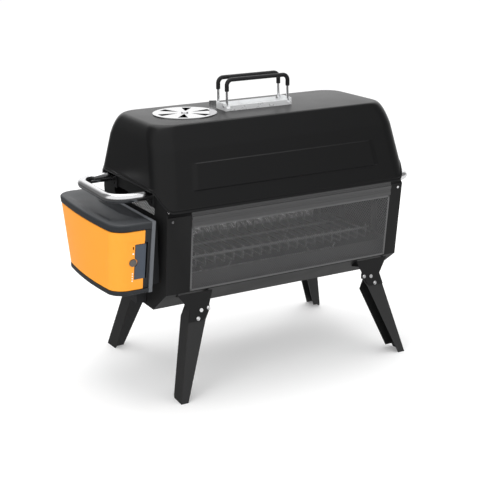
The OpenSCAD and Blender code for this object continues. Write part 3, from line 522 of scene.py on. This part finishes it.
def mesh_panel(name, side):
    """Fine diamond mesh in the tilted panel, with a folded border."""
    x0, x1, z0, z1 = MESH_LOW[0], MESH_HIGH[0], MESH_LOW[2], MESH_HIGH[2]
    foot_y, top_y = MESH_HIGH[1] - 1.2, MESH_LOW[1] + 0.2
    height = math.hypot(z1 - z0, top_y - foot_y)
    width = x1 - x0
    up = Vector((0, (top_y - foot_y) / height, (z1 - z0) / height))
    normal = Vector((0, -up.z, up.y))

    def place(u, v):
        p = Vector((x0 + u, foot_y, z0)) + up * v
        return Vector((p.x, p.y * side, p.z))

    facing = Vector((normal.x, normal.y * side, normal.z))
    strands = []
    lean = math.tan(math.radians(WEAVE_ANGLE))
    # the rear panel is woven closer, so less of the bright studio shows through both panels
    strand_w = FRONT_STRAND if side > 0 else REAR_STRAND
    for sign in (1, -1):
        reach = height * lean
        start = -reach if sign > 0 else 0.0
        u = start
        while u < width + (0 if sign > 0 else reach):
            # strand from (u, 0) to (u + sign * reach, height), clipped to the panel's width
            a, b = (u, 0.0), (u + sign * reach, height)
            t0, t1 = 0.0, 1.0
            for limit, keep_above in ((0.0, True), (width, False)):
                d = b[0] - a[0]
                t = (limit - a[0]) / d
                if (d > 0) == keep_above:
                    t0 = max(t0, t)
                else:
                    t1 = min(t1, t)
            if t1 - t0 > 0.01:
                p = [(a[0] + (b[0] - a[0]) * t, a[1] + (b[1] - a[1]) * t) for t in (t0, t1)]
                lift = facing * (STRAND_LIFT * sign)
                ends = [place(*q) + lift for q in p]
                strands.append(bar(*ends, strand_w, STRAND_DEPTH, facing))
            u += WEAVE_PITCH
    edge = MESH_BORDER / 2
    borders = [((0, v), (width, v)) for v in (edge, height - edge)]
    borders += [((u, 0), (u, height)) for u in (edge, width - edge)]
    for a, b in borders:
        strands.append(bar(place(*a), place(*b), MESH_BORDER, BORDER_DEPTH, facing))
    verts, faces = merge(strands)
    return make(name, verts, faces, "body", "mesh_steel", (name.replace("_weave", ""),))


mesh_panel("front_mesh_weave", 1)
mesh_panel("rear_mesh_weave", -1)

# ---------------------------------------------------------------- wires and tubes


def build_fuel_rack():
    """Basket of bent cross wires on three pairs of long wires, with two bent feet on each side."""
    low, high = box_mm("fuel_rack")
    basket_x, basket_y, floor_z, rim_z, wires = 226, 88, 234, 256, 22
    frame_r, cross_r, foot_r = 2, 1.6, 1.5
    parts = []
    for s in (-1, 1):
        rim_y, end_x = s * (basket_y + 1.9), s * (basket_x + 17)
        long_wires = [[(-basket_x, rim_y, rim_z), (basket_x, rim_y, rim_z)],
                      [(low[0], s * 40, floor_z + 2.3), (high[0], s * 40, floor_z + 2.3)],
                      [(end_x, -72, floor_z + 3.4), (end_x, 72, floor_z + 3.4)]]
        parts += [sweep(path, frame_r, 12) for path in long_wires]
    for i in range(wires):
        x = -basket_x + 6 + i * (2 * basket_x - 12) / (wires - 1)
        path = [(x, -basket_y, floor_z + 27), (x, -basket_y, floor_z),
                (x, basket_y, floor_z), (x, basket_y, floor_z + 27)]
        parts.append(sweep(fillet(path, 5), cross_r, 10))
    for x in (-134, 110):
        for s in (-1, 1):
            y, tip_z = s * basket_y, low[2] + foot_r
            path = [(x - 33, y, floor_z - 1), (x - 14, y, tip_z), (x + 14, y, tip_z),
                    (x + 33, y, floor_z - 1)]
            parts.append(sweep(fillet(path, 4), foot_r, 10))
    verts, faces = merge(parts)
    make("fuel_rack_wires", verts, faces, "fuel_rack", "rack_wire", ("fuel_rack",), angle=50)


def build_tube_handle(node):
    low, high = box_mm(node)
    r = (high[2] - low[2]) / 2
    left = abs(low[0]) > abs(high[0])
    out_x = low[0] + r if left else high[0] - r
    root_x = high[0] if left else low[0]
    half_y = high[1] - r
    z = (low[2] + high[2]) / 2
    path = fillet([(root_x, -half_y, z), (out_x, -half_y, z), (out_x, half_y, z), (root_x, half_y, z)],
                  34 if left else 22, 14)
    verts, faces = sweep(path, r, 40)
    make(node + "_tube", verts, faces, "body", "polished_steel", (node,), angle=50)


LOOP_BEND = 14.0


def build_loop(name, grip):
    low, high = box_mm(name)
    grip_low, grip_high = box_mm(grip)
    r, gr = (high[1] - low[1]) / 2, (grip_high[1] - grip_low[1]) / 2
    x, y = (low[0] + high[0]) / 2, (low[1] + high[1]) / 2
    foot_z, bar_z = low[2] + r, high[2] - r
    half = (grip_high[0] - grip_low[0]) / 2 - gr
    mid_z = (foot_z + bar_z) / 2
    up = fillet([(low[0], y, foot_z), (x - half, y, foot_z), (x - half, y, mid_z)], 3, 6)
    over = fillet([(x - half, y, mid_z), (x - half, y, bar_z), (x + half, y, bar_z), (x + half, y, mid_z)],
                  LOOP_BEND, 12)
    down = fillet([(x + half, y, mid_z), (x + half, y, foot_z), (high[0], y, foot_z)], 3, 6)
    verts, faces = sweep(up[:-1] + over[1:-1] + down[1:], r, 16)
    make(name + "_wire", verts, faces, name, "polished_steel", (name,), angle=50)
    arc = fillet([(x - half, y, grip_low[2]), (x - half, y, bar_z), (x + half, y, bar_z),
                  (x + half, y, grip_low[2])], LOOP_BEND, 12)
    verts, faces = sweep(arc, gr, 24)
    bevel(make(grip + "_sleeve", verts, faces, name, "grip_rubber", (grip,), angle=50), 1.0, 3, 60)


build_fuel_rack()
build_tube_handle("left_handle")
build_tube_handle("right_handle")
build_loop("front_loop", "front_grip")
build_loop("rear_loop", "rear_grip")

# ---------------------------------------------------------------- fan pack

CAP_LOW, CAP_HIGH = box_mm("pack_top_cap")
LIP_LOW, LIP_HIGH = box_mm("pack_bottom_cap")
SHELL_LOW, SHELL_HIGH = box_mm("pack_shell")
PACK_TOP, PACK_FLOOR = CAP_HIGH[2], LIP_LOW[2]
PACK_OUT = -CAP_LOW[0]
PACK_HALF_TOP, PACK_HALF_LOW = 149.0, 121.0
PACK_LEAN = 5.0
SHELL_BACK = 306.0
CORNER = 34.0


def pack_half(z):
    return PACK_HALF_LOW + (PACK_HALF_TOP - PACK_HALF_LOW) * (z - PACK_FLOOR) / (PACK_TOP - PACK_FLOOR)


def pack_out(z):
    return PACK_OUT - PACK_LEAN * (PACK_TOP - z) / (PACK_TOP - PACK_FLOOR)


def pack_plan(z, inset=0.0, back=SHELL_BACK, side_n=34, corner_n=16, face_n=40):
    """Open outline of the pack at height z, from the front back edge round to the rear back edge."""
    half, out = pack_half(z) - inset, pack_out(z) - inset
    r = max(CORNER - inset, 2)
    bow = 5.0
    pts = []
    for i in range(side_n):
        t = i / side_n
        pts.append((-back + (-(out - bow - r) + back) * t, -half))
    for i in range(corner_n):
        a = math.radians(270 - 90 * i / corner_n)
        pts.append((-(out - bow - r) + r * math.cos(a), -(half - r) + r * math.sin(a)))
    for i in range(face_n + 1):
        s = -1 + 2 * i / face_n
        y = s * (half - r)
        pts.append((-(out - bow) - bow * (1 - s * s), y))
    for i in range(1, corner_n + 1):
        a = math.radians(180 - 90 * i / corner_n)
        pts.append((-(out - bow - r) + r * math.cos(a), (half - r) + r * math.sin(a)))
    for i in range(1, side_n + 1):
        t = i / side_n
        pts.append((-(out - bow - r) + (-back + (out - bow - r)) * t, half))
    return pts


def plan_row(z, inset=0.0, back=SHELL_BACK, height=None):
    return [(x, y, height(x, y) if height else z) for x, y in pack_plan(z, inset, back)]


COVER_LOW, COVER_HIGH = box_mm("port_cover")
BUTTON_LOW, BUTTON_HIGH = box_mm("power_button")
RECESS_X, RECESS_LOW, RECESS_HIGH = -344.2, 238.2, 320.2
RECESS_EDGE, RECESS_DEPTH = 1.4, 0.6
CUT_FROM, CUT_TO = -170, -100
BUTTON_X = (BUTTON_LOW[0] + BUTTON_HIGH[0]) / 2
BUTTON_Z = (BUTTON_LOW[2] + BUTTON_HIGH[2]) / 2


def build_pack_shell():
    z0, z1 = SHELL_LOW[2], SHELL_HIGH[2]
    skin = 2.4
    heights = [z0, z0 + 0.6, z0 + 1.6] + list(np.arange(z0 + 3.2, z1 - 3, 1.8)) + [z1 - 1.6, z1 - 0.6, z1]
    soft = {0: 2.2, 1: 1.4, 2: 1.0}
    rows = []
    for i, z in enumerate(heights):
        inset = soft.get(min(i, len(heights) - 1 - i), 1.0)
        row = []
        for x, y in pack_plan(z, inset):
            # shallow recess round the controls on the front side wall
            if y < 0:
                deep = smoothstep(x, RECESS_X, RECESS_X + RECESS_EDGE)
                deep *= smoothstep(z, RECESS_LOW, RECESS_LOW + RECESS_EDGE)
                deep *= 1 - smoothstep(z, RECESS_HIGH, RECESS_HIGH + RECESS_EDGE)
                y += RECESS_DEPTH * deep
            row.append((x, y, z))
        rows.append(row)
    inner = [plan_row(z, 1 + skin) for z in heights]
    verts, faces = loft(rows + inner[::-1] + rows[:1], close_rows=False)
    n = len(rows[0])
    count = len(heights)
    # close the two back edges
    for k in (0, n - 1):
        for i in range(count - 1):
            o0, o1 = i * n + k, (i + 1) * n + k
            i0, i1 = (2 * count - 1 - i) * n + k, (2 * count - 2 - i) * n + k
            faces.append([o0, o1, i1, i0])
    shell = make("pack_shell_moulding", verts, faces, "pack", "pack_orange", ("pack_shell",), angle=30)
    edge_x, bite = COVER_LOW[0] - 0.6, 8.7
    half = math.acos((edge_x - BUTTON_X) / bite)
    arc = [(BUTTON_X + bite * math.cos(a), BUTTON_Z + bite * math.sin(a))
           for a in np.linspace(half, -half, 15)]
    window = [(edge_x, COVER_LOW[2] - 0.4), (-300, COVER_LOW[2] - 0.4), (-300, COVER_HIGH[2] + 0.4),
              (edge_x, COVER_HIGH[2] + 0.4)] + arc
    cutters = [cutter_prism("cover_window", window, CUT_FROM, CUT_TO, "y")]
    cutters.append(cutter_prism("button_hole", circle(BUTTON_X, BUTTON_Z, 7.2, 40), CUT_FROM, CUT_TO, "y"))
    slot = [(BUTTON_X + x, 309 + z) for x, z in ((-1.2, -3), (1.2, -3), (1.2, 3), (-1.2, 3))]
    cutters.append(cutter_prism("slot_hole", slot, CUT_FROM, CUT_TO, "y"))
    cut(shell, *cutters)
    shade(shell.data, 30)


def build_pack_cap():
    z0, z1 = CAP_LOW[2], CAP_HIGH[2]
    back = -CAP_HIGH[0]
    rows = [plan_row(z0 + 0.4, 4.0, back), plan_row(z0, 1.6, back), plan_row(z0 + 0.8, 0.3, back),
            plan_row(z0 + 2.5, 0.0, back)]
    rows += [plan_row(z, 0.0, back) for z in np.linspace(z0 + 4.5, z1 - 5, 4)]
    for i in range(7):
        a = math.radians(90 * i / 6)
        rows.append(plan_row(z1 - 4 + 4 * math.sin(a), 4 * (1 - math.cos(a)), back))
    # dished top: inner rows drop towards a flat tray
    base = plan_row(z1, 4.0, back)
    cx = -(back + 30)
    for t, drop in ((0.12, 0.0), (0.2, 0.4), (0.28, 1.8), (0.36, 3.2), (0.44, 4.1), (0.52, 4.5), (0.75, 4.5)):
        row = []
        for x, y, z in base:
            row.append((x + (cx - x) * t, y * (1 - t * 0.9), z1 - drop))
        rows.append(row)
    verts, faces = loft(rows, close_rows=False)
    n = len(rows[0])
    faces.append([i * n for i in range(len(rows))] + [i * n + n - 1 for i in range(len(rows) - 1, -1, -1)])
    faces.append(list(range(n)))
    faces.append(list(range((len(rows) - 1) * n, len(rows) * n)))
    make("pack_cap_moulding", verts, faces, "pack", "pack_grey", ("pack_top_cap",), angle=32)


def build_pack_lip():
    z0, z1 = LIP_LOW[2], LIP_HIGH[2]
    back = -LIP_HIGH[0]
    rows = [plan_row(z1, 5.0, back), plan_row(z1, 1.0, back), plan_row(z1 - 0.8, 0.2, back),
            plan_row(z0 + 3, 0.0, back)]
    for i in range(1, 6):
        a = math.radians(90 * i / 5)
        rows.append(plan_row(z0 + 3 - 3 * math.sin(a), 3 * (1 - math.cos(a)), back))
    verts, faces = loft(rows, close_rows=False)
    n = len(rows[0])
    faces.append([i * n for i in range(len(rows))] + [i * n + n - 1 for i in range(len(rows) - 1, -1, -1)])
    faces.append(list(range(n)))
    faces.append(list(range((len(rows) - 1) * n, len(rows) * n)))
    make("pack_lip_moulding", verts, faces, "pack", "pack_grey", ("pack_bottom_cap",), angle=32)


build_pack_shell()
build_pack_cap()
build_pack_lip()

# ---------------------------------------------------------------- softened edges on the CAD sheet parts

EDGE_WIDTHS = {
    "left_end_plate": 0.5, "right_end_plate": 0.5, "front_top_rail": 0.4, "rear_top_rail": 0.4,
    "bottom_pan": 0.4, "leg_front_left": 0.6, "leg_front_right": 0.6, "leg_rear_left": 0.6,
    "leg_rear_right": 0.6, "leg_brackets": 0.5, "pack_frame": 1.6, "handle_base": 0.4,
    "vent_disc": 0.35, "port_cover": 0.5, "power_button": 0.6,
}
for _name, _width in EDGE_WIDTHS.items():
    bevel(frame["nodes"][_name], _width)

# ---------------------------------------------------------------- floor, light and camera


def stage_plane(name, size, material):
    bpy.ops.mesh.primitive_plane_add(size=size, location=(0, 0, 0))
    plane = bpy.context.object
    plane.name = name
    plane.data.materials.append(material)
    return plane


floor_mat, _, floor_bsdf = new_material("floor")
floor_bsdf.inputs["Base Color"].default_value = (0.92, 0.92, 0.92, 1)
floor_bsdf.inputs["Roughness"].default_value = 0.9
floor_bsdf.inputs["Specular IOR Level"].default_value = 0.0
floor_bsdf.inputs["Emission Color"].default_value = (1.0, 1.0, 1.0, 1)
floor_bsdf.inputs["Emission Strength"].default_value = 0.1
stage_plane("floor", 40, floor_mat).visible_glossy = False


def soft_light(name, size, power, place, target, seen=True):
    data = bpy.data.lights.new(name, "AREA")
    data.shape = "RECTANGLE"
    data.size, data.size_y = size
    data.energy = power
    light = bpy.data.objects.new(name, data)
    light.location = place
    light.rotation_euler = (Vector(target) - Vector(place)).to_track_quat("-Z", "Y").to_euler()
    light.visible_glossy = seen
    bpy.context.scene.collection.objects.link(light)


soft_light("overhead", (2.2, 1.6), 24, (0.2, 0.5, 2.4), (0, 0, 0.3))
soft_light("left_fill", (1.4, 1.8), 14, (-2.4, -1.2, 1.3), (-0.2, 0, 0.3), seen=False)
soft_light("front_fill", (2.0, 1.2), 6, (0.9, -2.6, 1.6), (0.1, 0, 0.25), seen=False)

world = bpy.data.worlds.new("studio")
bpy.context.scene.world = world
world.use_nodes = True
_tree = world.node_tree
_background = _tree.nodes["Background"]


def fade(value, low, high, to_low=0.0, to_high=1.0):
    node = _tree.nodes.new("ShaderNodeMapRange")
    node.interpolation_type = "SMOOTHSTEP"
    for key, v in (("From Min", low), ("From Max", high), ("To Min", to_low), ("To Max", to_high)):
        node.inputs[key].default_value = v
    _tree.links.new(value, node.inputs["Value"])
    return node.outputs["Result"]


def blend_values(a, b, factor):
    node = _tree.nodes.new("ShaderNodeMix")
    for key, v in (("A", a), ("B", b), ("Factor", factor)):
        if isinstance(v, float):
            node.inputs[key].default_value = v
        else:
            _tree.links.new(v, node.inputs[key])
    return node.outputs["Result"]


# What shiny surfaces see round them: a pale studio, dimmer low in front on the left and behind on
# the left, and fading to the right in front
_xyz = _tree.nodes.new("ShaderNodeSeparateXYZ")
_tree.links.new(_tree.nodes.new("ShaderNodeTexCoord").outputs["Generated"], _xyz.inputs["Vector"])
_x, _y, _z = _xyz.outputs
_front_low = fade(_x, 0.40, 0.62, 0.08, 0.9)
_behind_low = fade(_x, -0.35, 0.15, 0.1, 0.75)
_low = blend_values(_front_low, _behind_low, fade(_y, 0.1, 0.5))
_front_high = fade(_x, 0.35, 0.65, 1.05, 0.25)
_behind_high = fade(_x, -0.35, 0.15, 0.2, 1.15)
_high = blend_values(_front_high, _behind_high, fade(_y, 0.1, 0.5))
_seen = blend_values(_low, _high, fade(_z, -0.12, 0.08))
_path = _tree.nodes.new("ShaderNodeLightPath")
_level = blend_values(1.0, _seen, _path.outputs["Is Glossy Ray"])
_tree.links.new(_level, _background.inputs["Strength"])
_background.inputs["Color"].default_value = (1.0, 1.0, 1.0, 1)

camera_data = bpy.data.cameras.new("camera")
camera_data.sensor_width = 36
camera_data.lens = 84.435
camera_data.clip_end = 60
camera = bpy.data.objects.new("camera", camera_data)
bpy.context.scene.collection.objects.link(camera)
camera.location = ((-1099.0 + BODY_X) * MM, -1.94065, 0.91447)
_yaw, _pitch, _roll = math.radians(28.82), math.radians(-16.87), math.radians(-0.66)
_forward = Vector((math.sin(_yaw) * math.cos(_pitch), math.cos(_yaw) * math.cos(_pitch), math.sin(_pitch)))
camera.rotation_euler = _forward.to_track_quat("-Z", "Y").to_euler()
camera.rotation_euler.rotate_axis("Z", _roll)
bpy.context.scene.camera = camera
bpy.context.scene.view_settings.view_transform = "Standard"
